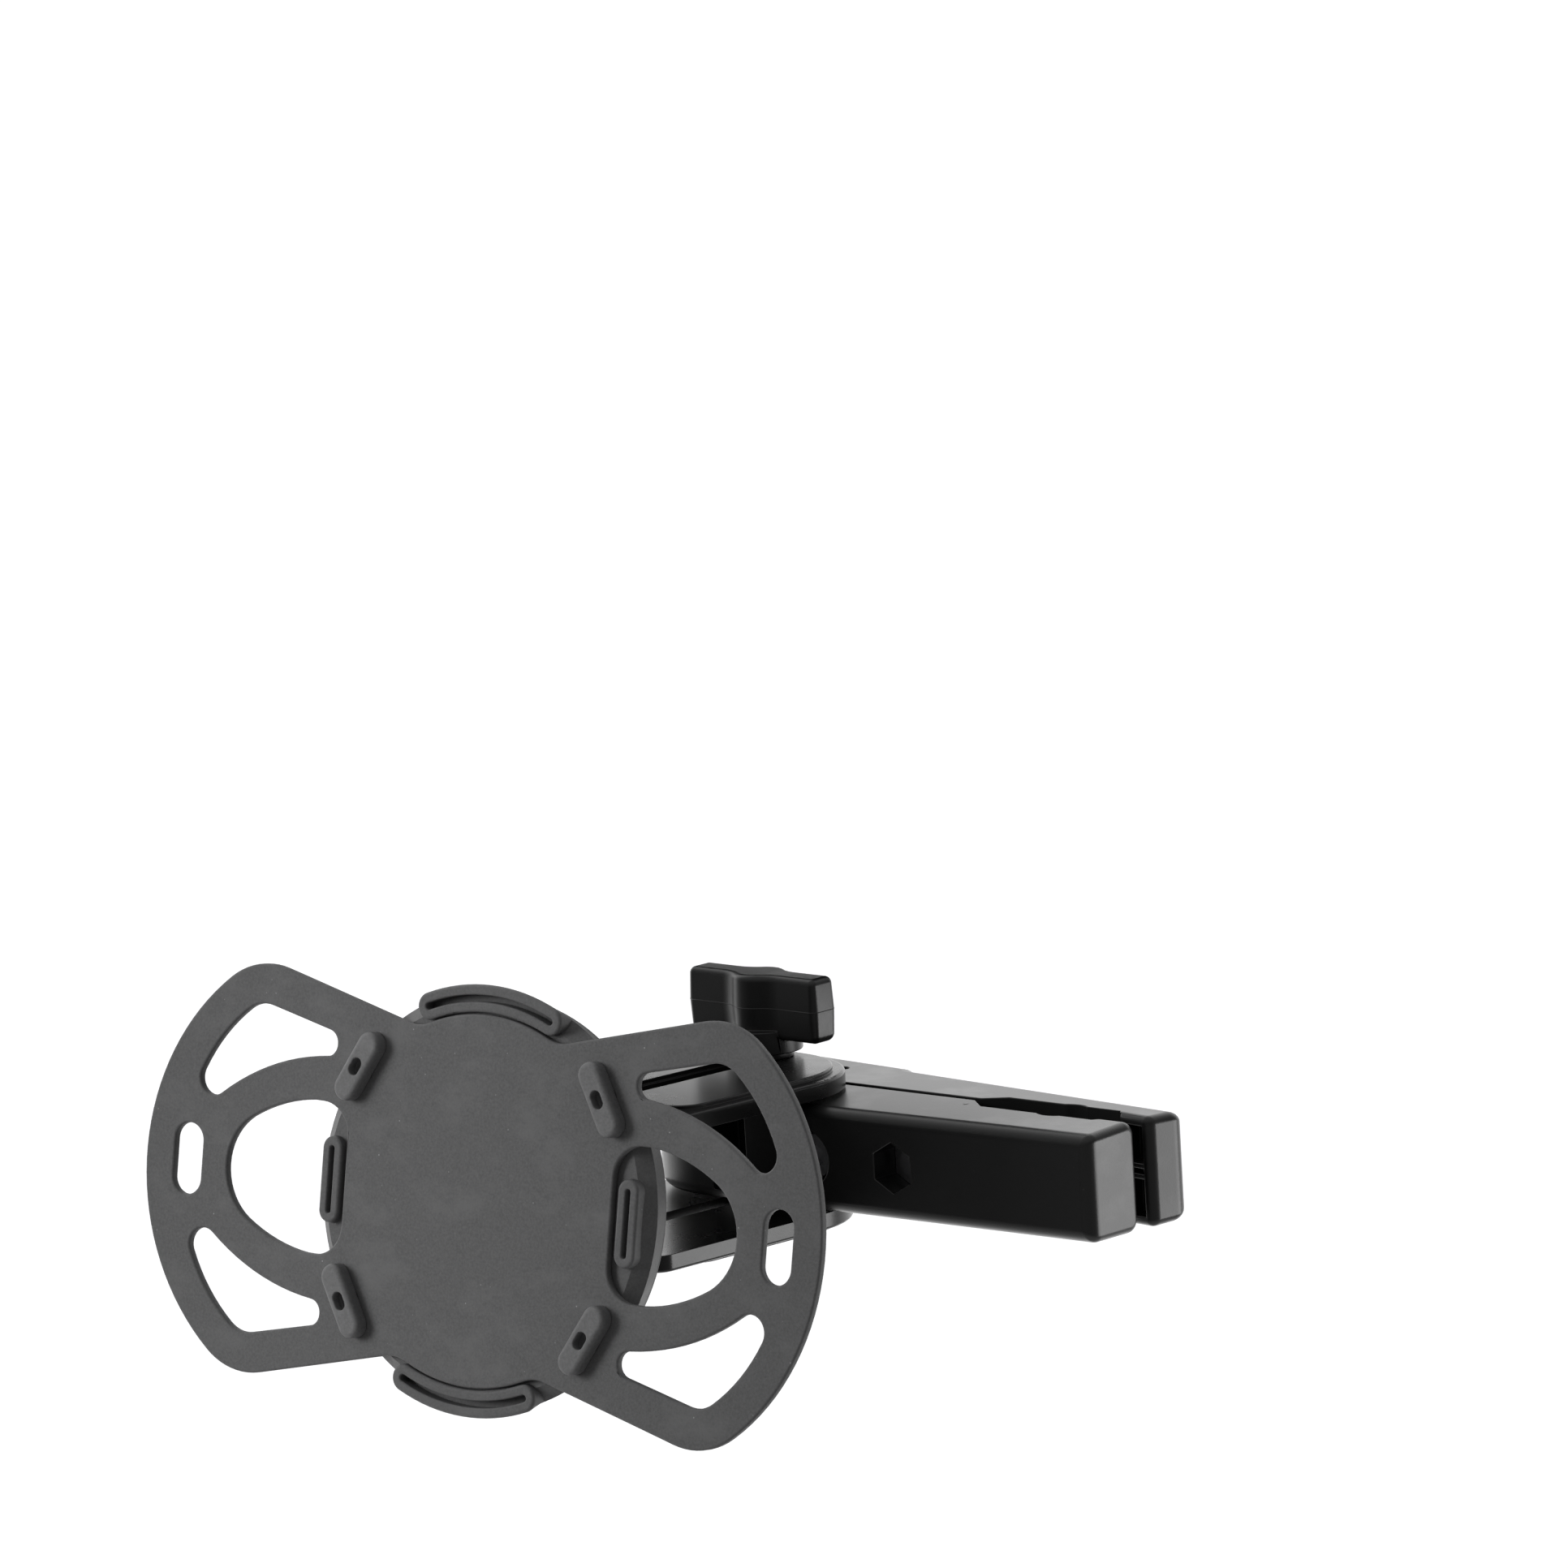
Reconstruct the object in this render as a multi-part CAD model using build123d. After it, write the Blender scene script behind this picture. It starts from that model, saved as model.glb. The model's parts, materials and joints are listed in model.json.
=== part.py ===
"""Tablet mount: clamp bar, sliding arm and round holder with a rubber sheet.

Millimetres, +Z up. The origin is the axis of the clamp's round seat at mid-height of the bar; X runs
along the bar from the pivot end to the open end, -Y faces the front, where the holder is.
"""
import os
from math import cos, radians, sin, sqrt, tan

from build123d import *

# Rest pose, degrees
ARM_SWING = 6.1
HOLDER_SWIVEL = 12.8
HOLDER_TILT = 9.8
HOLDER_TURN = -2.4
KNOB_ANGLE = -1.5

# Clearances
RUN = 0.05
FIT_GAP = 0.3
LAYER_GAP = 0.1
OVERLAP = 1.0

# Clamp bar
ROD_R = 6.0
PIVOT_X = -84.0
PIVOT_Y = -5.0
NOSE_X = -91.7
BAR_END = 22.0
REAR_END = 23.0
BAR_H = 25.4
BAR_DRAFT = 1.5
NOSE_R = 23.15
FRONT_TAPER = 2.4
REAR_TAPER = 5.6
JAW_GAP = 2.0
MOUTH_FRONT = 1.5
MOUTH_REAR = 3.3
POCKET_FLOOR = 5.0
POCKET_LEFT = -19.5
POCKET_RIGHT = 12.5
POCKET_RAMP = 5.0
EDGE_R = 3.2
REAR_EDGE_R = 4.2
MOUTH_FRONT_R = 3.0
MOUTH_REAR_R = 1.6
END_R = 2.0
SMALL_R = 0.8
BOSS_SHIFT = 2.9
BOSS_PROUD = 1.8
BOSS_END = -62.0
JAW_CLOSE = 1.6
BARREL_R = 8.0
WINDOW_X = -81.0
WINDOW_W = 10.2
WINDOW_H = 19.4
WINDOW_FLOOR = -13.5
HOLLOW_WALL = 2.4
HOLLOW_W = 4.4
HOLLOW_DEPTH = 7.0
HOLLOW_RIB_T = 1.2
TOP_HOLE_X = -77.5
TOP_HOLE_Y = 13.7
TOP_HOLE_R = 2.0
TOP_HOLE_DEPTH = 5.0

# Jaw fasteners, M6
M6_R = 3.0
M6_HOLE_R = 3.25
NUT_AF = 10.0
NUT_H = 5.0
NUT_FIT = 0.1
HEAD_R = 5.0
HEAD_H = 5.5
CLAMP_X = -33.35
CLAMP_NUT_SEAT = -8.5
CLAMP_HEAD_SEAT = 12.0
JAW_SCREW_X = -58.3
JAW_HEAD_SEAT = -13.0
JAW_NUT_SEAT = 9.0
JAW_RECESS_R = 6.6
SCREW_BEYOND = 4.5
SCREW_RUNOUT = 1.0
SOCKET_AF = 5.0
SOCKET_DEPTH = 3.0

# Pivot stack
FRICTION_T = 0.4
PLATE_T = 4.0
PAD_T = 1.0
WASHER_T = 1.5
WASHER_R = 6.8
BOLT_HEAD_H = 4.0
COLLAR_R = 9.0
COLLAR_H = 3.3
KNOB_L = 40.2
KNOB_T = 8.0
KNOB_HUB_R = 6.7
KNOB_FLOW_R = 9.0
KNOB_H = 15.2
KNOB_DRAFT = 3.0
KNOB_CORNER_R = 1.8
KNOB_TOP_R = 1.6
KNOB_FOOT_R = 2.0
INSERT_R = 4.6
INSERT_H = 11.0
INSERT_ROOM = 1.0

# Arm, measured from the pivot toward the holder
ARM_HALF_W = 29.4
ARM_BACK = 10.2
ARM_FRONT = 62.0
ARM_BACK_R = 22.0
ARM_FRONT_R = 5.0
PAD_INSET = 2.8
PAD_FRONT = 49.0
PAD_FRONT_R = 7.0
SLOT_W = 6.4
SLOT_OUTER_W = 8.6
SLOT_FRONT = 43.0
BLOCK_BACK = 50.6
BLOCK_FRONT = 56.0
BLOCK_HALF_W = 14.0
BLOCK_SCREW_Y = 9.0
BLOCK_SCREW_R = 1.5
BLOCK_HEAD_R = 2.8
BLOCK_HEAD_H = 2.0
BLOCK_SCREW_END = 1.0

# Holder joints
SWIVEL_S = 63.5
KNUCKLE_R = 6.0
KNUCKLE_HALF = 6.0
EAR_T = 4.0
EAR_R = 7.0
PIN_R = 2.5
YOKE_REACH = 12.0
TILT_KNUCKLE_R = 5.0
BRACKET_EAR_R = 6.0
BRACKET_R = 15.0
BRACKET_T = 4.0
SHAFT_R = 6.0
HOLDER_REACH = 20.0

# Holder disc, depths behind the sheet's front face
SHEET_T = 2.0
FACE_R = 43.5
BEVEL_R = 47.0
BEVEL_DEPTH = 3.0
DISC_R = 48.7
DISC_DEPTH = 4.8
HUB_R = 14.0
HUB_DEPTH = 8.0
TURN_WASHER_R = 8.5
TURN_WASHER_T = 1.2
TURN_SEAT_DEPTH = 5.0
TURN_HEAD_R = 4.2
TURN_HEAD_H = 1.4
TURN_SCREW_R = 1.9
TURN_SCREW_L = 7.0
ARCH_IN = 41.8
ARCH_OUT = 48.0
ARCH_HALF_ANGLE = 22.0
LIP = 1.7
RING_FLOOR_DEPTH = 3.2
SIDE_RING_X = 41.3
SIDE_RING_W = 5.6
SIDE_RING_L = 19.6

# Rubber sheet
WING_CENTRE = 40.0
WING_R = 54.2
WING_EDGE_U = 35.0
WING_EDGE_V = 40.5
WING_SLOPE = 13.5
WING_CORNER_R = 18.0
WAIST_R = 41.4
WAIST_FILLET = 9.0
TIP_SLOT_IN = 78.4
TIP_SLOT_OUT = 86.2
TIP_SLOT_HALF = 8.2
SIDE_HOLE_IN = 37.2
SIDE_HOLE_IN_R = 7.5
SIDE_HOLE_SHOULDER = (47.0, 17.3)
SIDE_HOLE_FLANK = (56.0, 15.5)
SIDE_HOLE_TURN = (64.8, 11.5)
SIDE_HOLE_OUT = 71.1
CORNER_HOLE_FOOT = (41.9, 27.7)
CORNER_HOLE_HEAD = (41.9, 32.9)
CORNER_HOLE_SHOULDER = (64.6, 38.0)
CORNER_HOLE_FLANK = (73.6, 30.3)
CORNER_HOLE_TIP = (79.8, 20.9)
CORNER_HOLE_END = (78.8, 16.1)
CORNER_HOLE_TOE = (74.1, 16.0)
CORNER_HOLE_BELLY = (60.0, 23.9)
FOOT_R = 2.9
SHOULDER_R = 8.0

# Buttons
BUTTON_INSET = 0.7
BUTTON_ANGLE = 38.1
BUTTON_L = 17.6
BUTTON_W = 6.0
BUTTON_H = 3.5
BUTTON_LEAN = 60.0
BUTTON_EDGE_R = 1.2
BUTTON_HOLE_L = 4.2
BUTTON_HOLE_W = 2.6
BUTTON_HOLE_FLOOR = 1.0
STEM_R = 2.2
STEM_HOLE_R = 2.6

# Derived heights of the pivot stack
BAR_TOP = BAR_H / 2
PLATE_IN = BAR_TOP + FRICTION_T + LAYER_GAP
FLANGE_OUT = PLATE_IN + PLATE_T
PAD_OUT = FLANGE_OUT + PAD_T
WASHER_IN = PAD_OUT + LAYER_GAP
WASHER_OUT = WASHER_IN + WASHER_T
KNOB_BOTTOM = WASHER_OUT + COLLAR_H
KNOB_TOP = KNOB_BOTTOM + KNOB_H
BOLT_R = M6_R
BORE_R = BOLT_R + RUN

# Derived places
BLOCK_MIDDLE = (BLOCK_BACK + BLOCK_FRONT) / 2
BUTTON_RING = FACE_R - BUTTON_INSET
BAR_REACH = 4 * NOSE_R + REAR_END - NOSE_X

# Frames of the moving groups
PIVOT = Pos(PIVOT_X, PIVOT_Y, 0)
ARM = PIVOT * Rot(0, 0, -90 - ARM_SWING)
SWIVEL = ARM * Pos(SWIVEL_S, 0, 0) * Rot(0, 0, HOLDER_SWIVEL)
TILT = SWIVEL * Pos(YOKE_REACH, 0, 0) * Rot(0, -HOLDER_TILT, 0)
HOLDER = TILT * Pos(HOLDER_REACH, 0, 0) * Rot(HOLDER_TURN, 0, 0)


def prism(face, low, high):
    """Upright prism of a plan face between two heights."""
    return extrude(Pos(0, 0, low) * face, amount=high - low)


def slab(face, deep, shallow):
    """Slab of a holder face between two depths behind the sheet's front."""
    return extrude(Plane.YZ.offset(-deep) * face, amount=deep - shallow)


def upright(radius, low, high):
    """Upright cylinder on its own axis."""
    return prism(Circle(radius), low, high)


def along_y(radius, start, end):
    """Cylinder along Y."""
    return extrude(Plane.XZ.offset(-end) * Circle(radius), amount=end - start)


def along_x(radius, start, end):
    """Cylinder along X."""
    return extrude(Plane.YZ.offset(start) * Circle(radius), amount=end - start)


def hex_along_y(flats, start, end):
    """Hexagonal bar along Y with corners up and down."""
    outline = Rot(0, 0, 90) * RegularPolygon(flats / 2, 6, major_radius=False)
    return extrude(Plane.XZ.offset(-end) * outline, amount=end - start)


def box(x0, x1, y0, y1, z0, z1):
    """Box from its limits."""
    return Pos((x0 + x1) / 2, (y0 + y1) / 2, (z0 + z1) / 2) * Box(x1 - x0, y1 - y0, z1 - z0)


def mirrored_pair(shape):
    """A shape and its mirror image below the mid-plane."""
    return shape + mirror(shape, about=Plane.XY)


def drafted_wedge():
    """Bar cross-section, highest on the split plane, along the whole bar."""
    reach = 2 * NOSE_R
    low = BAR_TOP - reach * tan(radians(BAR_DRAFT))
    points = [(-reach, -low), (0, -BAR_TOP), (reach, -low), (reach, low), (0, BAR_TOP), (-reach, low)]
    start = NOSE_X - 2 * NOSE_R
    return extrude(Plane.YZ.offset(start) * make_face(Polyline(*points, close=True)), amount=BAR_REACH)


def mouth_y(side):
    """Where a jaw's mouth face lies, side -1 front and +1 rear."""
    return -MOUTH_FRONT if side < 0 else MOUTH_REAR


def pocket_points(side, end):
    """Mating edge of a jaw from its mouth end to the pivot."""
    mouth = mouth_y(side)
    meet = side * JAW_GAP / 2
    floor = side * POCKET_FLOOR
    return [
        (end, mouth),
        (POCKET_RIGHT + POCKET_RAMP - abs(mouth), mouth),
        (POCKET_RIGHT, floor),
        (POCKET_LEFT, floor),
        (POCKET_LEFT - POCKET_RAMP, meet),
    ]


def soften(solid, side, end, radius, lip_radius):
    """Round a jaw's outer edges along its length, its end corner and the lips of its mouth."""
    lips = [e for e in solid.edges() if abs(e.center().Y - mouth_y(side)) < 0.01
            and abs(e.center().Z) > BAR_TOP / 2]
    solid = fillet(lips, lip_radius)
    outer = [e for e in solid.edges() if side * e.center().Y > 2 * POCKET_FLOOR
             and e.center().X < end - END_R]
    long_edges = [e for e in outer if abs(e.center().Z) > BAR_TOP / 2]
    corner = [e for e in solid.edges() if abs(e.center().Z) < 0.01 and abs(e.center().X - end) < 0.01
              and side * e.center().Y > 2 * POCKET_FLOOR]
    solid = fillet(long_edges + corner, radius)
    rim = [e for e in solid.edges() if abs(e.center().X - end) < 0.01]
    return fillet(rim, END_R)


def mouth_hollow(side, end):
    """Three cells behind the lip of a jaw's mouth with two ribs left between them."""
    right = end - HOLLOW_WALL
    left = right - HOLLOW_W
    near = min(0, side * HOLLOW_DEPTH)
    far = max(0, side * HOLLOW_DEPTH)
    top = BAR_TOP - HOLLOW_WALL
    cell = box(left, right, near, far, 1.5 * HOLLOW_RIB_T, top)
    return mirrored_pair(cell) + box(left, right, near, far, -HOLLOW_RIB_T / 2, HOLLOW_RIB_T / 2)


def front_jaw():
    taper = radians(FRONT_TAPER)
    half = JAW_GAP / 2
    start = (NOSE_X - sqrt(NOSE_R ** 2 - half ** 2), -half)
    middle = (NOSE_X - NOSE_R * cos(radians(45)), -NOSE_R * sin(radians(45)))
    touch = (NOSE_X + NOSE_R * sin(taper), -NOSE_R * cos(taper))
    corner = (BAR_END, touch[1] + (BAR_END - touch[0]) * tan(taper))
    outline = ThreePointArc(start, middle, touch)
    outline += Polyline(touch, corner, *pocket_points(-1, BAR_END), start)
    jaw = prism(make_face(outline), -BAR_H, BAR_H) & drafted_wedge()
    jaw = soften(jaw, -1, BAR_END, EDGE_R, MOUTH_FRONT_R)
    jaw += PIVOT * upright(BARREL_R, -BAR_TOP, BAR_TOP)
    jaw -= PIVOT * upright(BORE_R, -BAR_H, BAR_H)
    jaw -= upright(ROD_R, -BAR_H, BAR_H)
    jaw -= Pos(CLAMP_X, 0, 0) * along_y(M6_HOLE_R, -2 * NOSE_R, 0)
    jaw -= Pos(CLAMP_X, 0, 0) * hex_along_y(NUT_AF + 2 * NUT_FIT, -2 * NOSE_R, CLAMP_NUT_SEAT)
    jaw -= Pos(JAW_SCREW_X, 0, 0) * along_y(M6_HOLE_R, -2 * NOSE_R, 0)
    jaw -= Pos(JAW_SCREW_X, 0, 0) * along_y(JAW_RECESS_R, -2 * NOSE_R, JAW_HEAD_SEAT)
    half_w = WINDOW_W / 2
    half_h = WINDOW_H / 2
    jaw -= box(WINDOW_X - half_w, WINDOW_X + half_w, -2 * NOSE_R, WINDOW_FLOOR, -half_h, half_h)
    return jaw - mouth_hollow(-1, BAR_END)


def rear_jaw():
    taper = radians(REAR_TAPER)
    half = JAW_GAP / 2
    start = (NOSE_X - NOSE_R, half)
    shoulder = (NOSE_X - NOSE_R, BOSS_SHIFT)
    middle = (NOSE_X - NOSE_R * cos(radians(45)), BOSS_SHIFT + NOSE_R * sin(radians(45)))
    touch = (NOSE_X + NOSE_R * sin(taper), BOSS_SHIFT + NOSE_R * cos(taper))
    boss_end = (BOSS_END, touch[1] - (BOSS_END - touch[0]) * tan(taper))
    step = (BOSS_END + BOSS_PROUD, boss_end[1] - BOSS_PROUD)
    corner = (REAR_END, step[1] - (REAR_END - step[0]) * tan(taper))
    outline = Line(start, shoulder)
    outline += ThreePointArc(shoulder, middle, touch)
    outline += Polyline(touch, boss_end, step, corner, *pocket_points(1, REAR_END), start)
    jaw = prism(make_face(outline), -BAR_H, BAR_H) & drafted_wedge()
    jaw = soften(jaw, 1, REAR_END, REAR_EDGE_R, MOUTH_REAR_R)
    relief = BARREL_R + FIT_GAP
    jaw -= Pos(0, JAW_CLOSE, 0) * PIVOT * upright(relief, -BAR_H, BAR_H)
    jaw -= upright(ROD_R, -BAR_H, BAR_H)
    jaw -= Pos(CLAMP_X, 0, 0) * along_y(M6_R + RUN, 0, 2 * NOSE_R)
    jaw -= Pos(CLAMP_X, 0, 0) * along_y(HEAD_R + FIT_GAP, CLAMP_HEAD_SEAT, 2 * NOSE_R)
    jaw -= Pos(JAW_SCREW_X, 0, 0) * along_y(M6_HOLE_R, 0, 2 * NOSE_R)
    jaw -= Pos(JAW_SCREW_X, 0, 0) * hex_along_y(NUT_AF + 2 * NUT_FIT, JAW_NUT_SEAT, 2 * NOSE_R)
    jaw -= Pos(TOP_HOLE_X, TOP_HOLE_Y, 0) * upright(TOP_HOLE_R, BAR_TOP - TOP_HOLE_DEPTH, BAR_H)
    return jaw - mouth_hollow(1, REAR_END)


def clamp_screw():
    seat = CLAMP_HEAD_SEAT + RUN
    end = CLAMP_NUT_SEAT - NUT_H - SCREW_RUNOUT
    screw = along_y(M6_R, end, seat) + along_y(HEAD_R, seat, seat + HEAD_H)
    screw -= hex_along_y(SOCKET_AF, seat + HEAD_H - SOCKET_DEPTH, seat + HEAD_H)
    return Pos(CLAMP_X, 0, 0) * screw


def nut_along_y(start):
    """M6 nut from a seat toward the outside of the front jaw."""
    return hex_along_y(NUT_AF, start - NUT_H, start) - along_y(M6_R + RUN, start - NUT_H, start)


def clamp_nut():
    return Pos(CLAMP_X, 0, 0) * nut_along_y(CLAMP_NUT_SEAT)


def jaw_screw():
    end = JAW_NUT_SEAT + NUT_H + SCREW_BEYOND
    head_end = JAW_HEAD_SEAT - HEAD_H
    screw = along_y(M6_R, JAW_HEAD_SEAT, end) + along_y(HEAD_R, head_end, JAW_HEAD_SEAT)
    screw -= hex_along_y(SOCKET_AF, head_end, head_end + SOCKET_DEPTH)
    return Pos(JAW_SCREW_X, 0, 0) * screw


def jaw_nut():
    return Pos(JAW_SCREW_X, 0, 0) * nut_along_y(JAW_NUT_SEAT + NUT_H)


def friction_washer(side):
    low = min(side * BAR_TOP, side * (BAR_TOP + FRICTION_T))
    ring = upright(BARREL_R, low, low + FRICTION_T) - upright(BORE_R, low, low + FRICTION_T)
    return PIVOT * ring


def pivot_bolt():
    hexagon = RegularPolygon(NUT_AF / 2, 6, major_radius=False)
    head = prism(hexagon, -WASHER_OUT - BOLT_HEAD_H, -WASHER_OUT)
    bolt = head + upright(BOLT_R, -WASHER_OUT, KNOB_BOTTOM + INSERT_H)
    return ARM * bolt


def stack_washer(low):
    ring = upright(WASHER_R, low, low + WASHER_T) - upright(BORE_R, low, low + WASHER_T)
    return ARM * ring


def knob_outline():
    """Plan of the knob at its widest: a flat bar flowing into a round hub."""
    face = Rectangle(KNOB_L, KNOB_T) + Circle(KNOB_HUB_R)
    hub = [p for p in face.vertices() if abs(p.X) < KNOB_HUB_R]
    face = fillet(hub, KNOB_FLOW_R)
    ends = face.vertices().group_by(Axis.X)
    return fillet(ends[0] + ends[-1], KNOB_CORNER_R)


def pivot_knob():
    wide = Pos(0, 0, (KNOB_BOTTOM + KNOB_TOP) / 2) * knob_outline().face()
    narrow = offset(knob_outline(), amount=-KNOB_H / 2 * tan(radians(KNOB_DRAFT))).face()
    upper = loft([wide, Pos(0, 0, KNOB_TOP) * narrow], ruled=True)
    upper = fillet(upper.faces().sort_by(Axis.Z)[-1].edges(), KNOB_TOP_R)
    lower = loft([Pos(0, 0, KNOB_BOTTOM) * narrow, wide], ruled=True)
    lower = fillet(lower.faces().sort_by(Axis.Z)[0].edges(), KNOB_FOOT_R)
    knob = upper + lower + upright(COLLAR_R, WASHER_OUT + LAYER_GAP, KNOB_BOTTOM + KNOB_FOOT_R + FIT_GAP)
    knob -= upright(INSERT_R, 0, KNOB_BOTTOM + INSERT_H + INSERT_ROOM)
    return PIVOT * Rot(0, 0, KNOB_ANGLE) * knob


def knob_insert():
    low = WASHER_OUT + LAYER_GAP
    ring = upright(INSERT_R, low, low + INSERT_H) - upright(BORE_R, low, low + INSERT_H)
    return PIVOT * Rot(0, 0, KNOB_ANGLE) * ring


def plate_face(back, half, front, back_r, front_r):
    """Plan face of an arm plate, rounded more at the pivot end."""
    face = make_face(Polyline((-back, -half), (front, -half), (front, half), (-back, half), close=True))
    face = fillet(face.vertices().group_by(Axis.X)[0], back_r)
    return fillet(face.vertices().group_by(Axis.X)[-1], front_r)


def slot_face(width):
    """Plan face of the arm slot, its back end round the pivot."""
    return Pos(SLOT_FRONT / 2, 0) * SlotCenterToCenter(SLOT_FRONT, width)


def arm_plate():
    """Upper plate: flange with a raised pad and a stepped slot."""
    flange_face = plate_face(ARM_BACK, ARM_HALF_W, ARM_FRONT, ARM_BACK_R, ARM_FRONT_R)
    flange = prism(flange_face, PLATE_IN, FLANGE_OUT)
    flange = fillet(flange.faces().sort_by(Axis.Z)[-1].edges(), SMALL_R)
    pad_back = ARM_BACK - PAD_INSET
    pad_back_r = ARM_BACK_R - PAD_INSET
    pad_face = plate_face(pad_back, ARM_HALF_W - PAD_INSET, PAD_FRONT, pad_back_r, PAD_FRONT_R)
    pad = prism(pad_face, FLANGE_OUT - PLATE_T / 2, PAD_OUT)
    pad = fillet(pad.faces().sort_by(Axis.Z)[-1].edges(), SMALL_R / 2)
    plate = flange + pad
    plate -= prism(slot_face(SLOT_W), 0, PAD_OUT + OVERLAP)
    plate -= prism(slot_face(SLOT_OUTER_W), FLANGE_OUT, PAD_OUT + OVERLAP)
    return plate


def upper_arm_plate():
    block = box(BLOCK_BACK, BLOCK_FRONT, -BLOCK_HALF_W, BLOCK_HALF_W, -PLATE_IN, PLATE_IN + OVERLAP)
    block += box(BLOCK_FRONT - OVERLAP, SWIVEL_S, -KNUCKLE_R, KNUCKLE_R, -KNUCKLE_HALF, KNUCKLE_HALF)
    block += Pos(SWIVEL_S, 0, 0) * upright(KNUCKLE_R, -KNUCKLE_HALF, KNUCKLE_HALF)
    block -= Pos(SWIVEL_S, 0, 0) * upright(PIN_R + RUN, -BAR_H, BAR_H)
    for side in (-1, 1):
        block -= Pos(BLOCK_MIDDLE, side * BLOCK_SCREW_Y, 0) * upright(BLOCK_SCREW_R, -PLATE_IN, 0)
    return ARM * (arm_plate() + block)


def lower_arm_plate():
    plate = mirror(arm_plate(), about=Plane.XY)
    for side in (-1, 1):
        plate -= Pos(BLOCK_MIDDLE, side * BLOCK_SCREW_Y, 0) * upright(BLOCK_SCREW_R, -2 * BAR_H, 0)
    return ARM * plate


def block_screw(side):
    base = -FLANGE_OUT
    screw = upright(BLOCK_SCREW_R, base, -BLOCK_SCREW_END)
    screw += upright(BLOCK_HEAD_R, base - BLOCK_HEAD_H, base)
    return ARM * Pos(BLOCK_MIDDLE, side * BLOCK_SCREW_Y, 0) * screw


def swivel_yoke():
    low = KNUCKLE_HALF + FIT_GAP
    high = low + EAR_T
    half = KNUCKLE_HALF
    ear = upright(EAR_R, low, high) + box(0, YOKE_REACH, -half, half, low, high)
    yoke = mirrored_pair(ear)
    yoke += box(EAR_R, YOKE_REACH, -half, half, -high, high)
    yoke += Pos(YOKE_REACH, 0, 0) * along_y(TILT_KNUCKLE_R, -half, half)
    yoke -= upright(PIN_R, -BAR_H, BAR_H)
    yoke -= Pos(YOKE_REACH, 0, 0) * along_y(PIN_R + RUN, -BAR_H, BAR_H)
    return SWIVEL * yoke


def swivel_pin():
    reach = KNUCKLE_HALF + FIT_GAP + EAR_T
    return SWIVEL * upright(PIN_R, -reach, reach)


def tilt_bracket():
    low = KNUCKLE_HALF + FIT_GAP
    high = low + EAR_T
    base_front = HOLDER_REACH - HUB_DEPTH - FIT_GAP
    base_back = base_front - BRACKET_T
    ear = along_y(BRACKET_EAR_R, low, high)
    ear += box(0, base_back + OVERLAP, low, high, -BRACKET_EAR_R, BRACKET_EAR_R)
    bracket = ear + mirror(ear, about=Plane.XZ)
    bracket += along_x(BRACKET_R, base_back, base_front)
    bracket += along_x(SHAFT_R, base_front, HOLDER_REACH - TURN_SEAT_DEPTH + LAYER_GAP)
    bracket -= along_y(PIN_R, -BAR_H, BAR_H)
    bracket -= along_x(TURN_SCREW_R, base_back + OVERLAP, HOLDER_REACH)
    return TILT * bracket


def tilt_pin():
    reach = KNUCKLE_HALF + FIT_GAP + EAR_T
    return TILT * along_y(PIN_R, -reach, reach)


def turn_washer():
    start = HOLDER_REACH - TURN_SEAT_DEPTH + LAYER_GAP
    ring = along_x(TURN_WASHER_R, start, start + TURN_WASHER_T)
    ring -= along_x(TURN_SCREW_R, start, start + TURN_WASHER_T)
    return TILT * ring


def turn_screw():
    start = HOLDER_REACH - TURN_SEAT_DEPTH + LAYER_GAP + TURN_WASHER_T
    screw = along_x(TURN_HEAD_R, start, start + TURN_HEAD_H)
    screw += along_x(TURN_SCREW_R, start - TURN_SCREW_L, start)
    return TILT * screw


def arch_face(inner, outer):
    """Upper arched band with round ends."""
    middle = (inner + outer) / 2
    angle = ARCH_HALF_ANGLE
    band = Circle(outer) - Circle(inner)
    reach = 2 * outer
    wedge = make_face(Polyline(
        (0, 0),
        (reach * sin(radians(angle)), reach * cos(radians(angle))),
        (-reach * sin(radians(angle)), reach * cos(radians(angle))),
        close=True,
    ))
    face = band & wedge
    for side in (-1, 1):
        end = (side * middle * sin(radians(angle)), middle * cos(radians(angle)))
        face += Pos(*end) * Circle((outer - inner) / 2)
    return face


def ring_faces(shrink):
    """The four ring pads, or with a positive shrink their slots."""
    arch = arch_face(ARCH_IN + shrink, ARCH_OUT - shrink)
    side = Pos(SIDE_RING_X, 0) * SlotOverall(
        SIDE_RING_L - 2 * shrink, SIDE_RING_W - 2 * shrink, rotation=90)
    return [arch, mirror(arch, about=Plane.XZ), side, mirror(side, about=Plane.YZ)]


def button_places():
    """Plan position and lean of each button by name."""
    places = {}
    for v_name, v_side in (("upper", 1), ("lower", -1)):
        for u_name, u_side in (("left", -1), ("right", 1)):
            lean = -u_side * v_side * BUTTON_LEAN
            u = u_side * BUTTON_RING * cos(radians(BUTTON_ANGLE))
            v = v_side * BUTTON_RING * sin(radians(BUTTON_ANGLE))
            places[v_name + "_" + u_name] = (u, v, lean)
    return places


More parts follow.
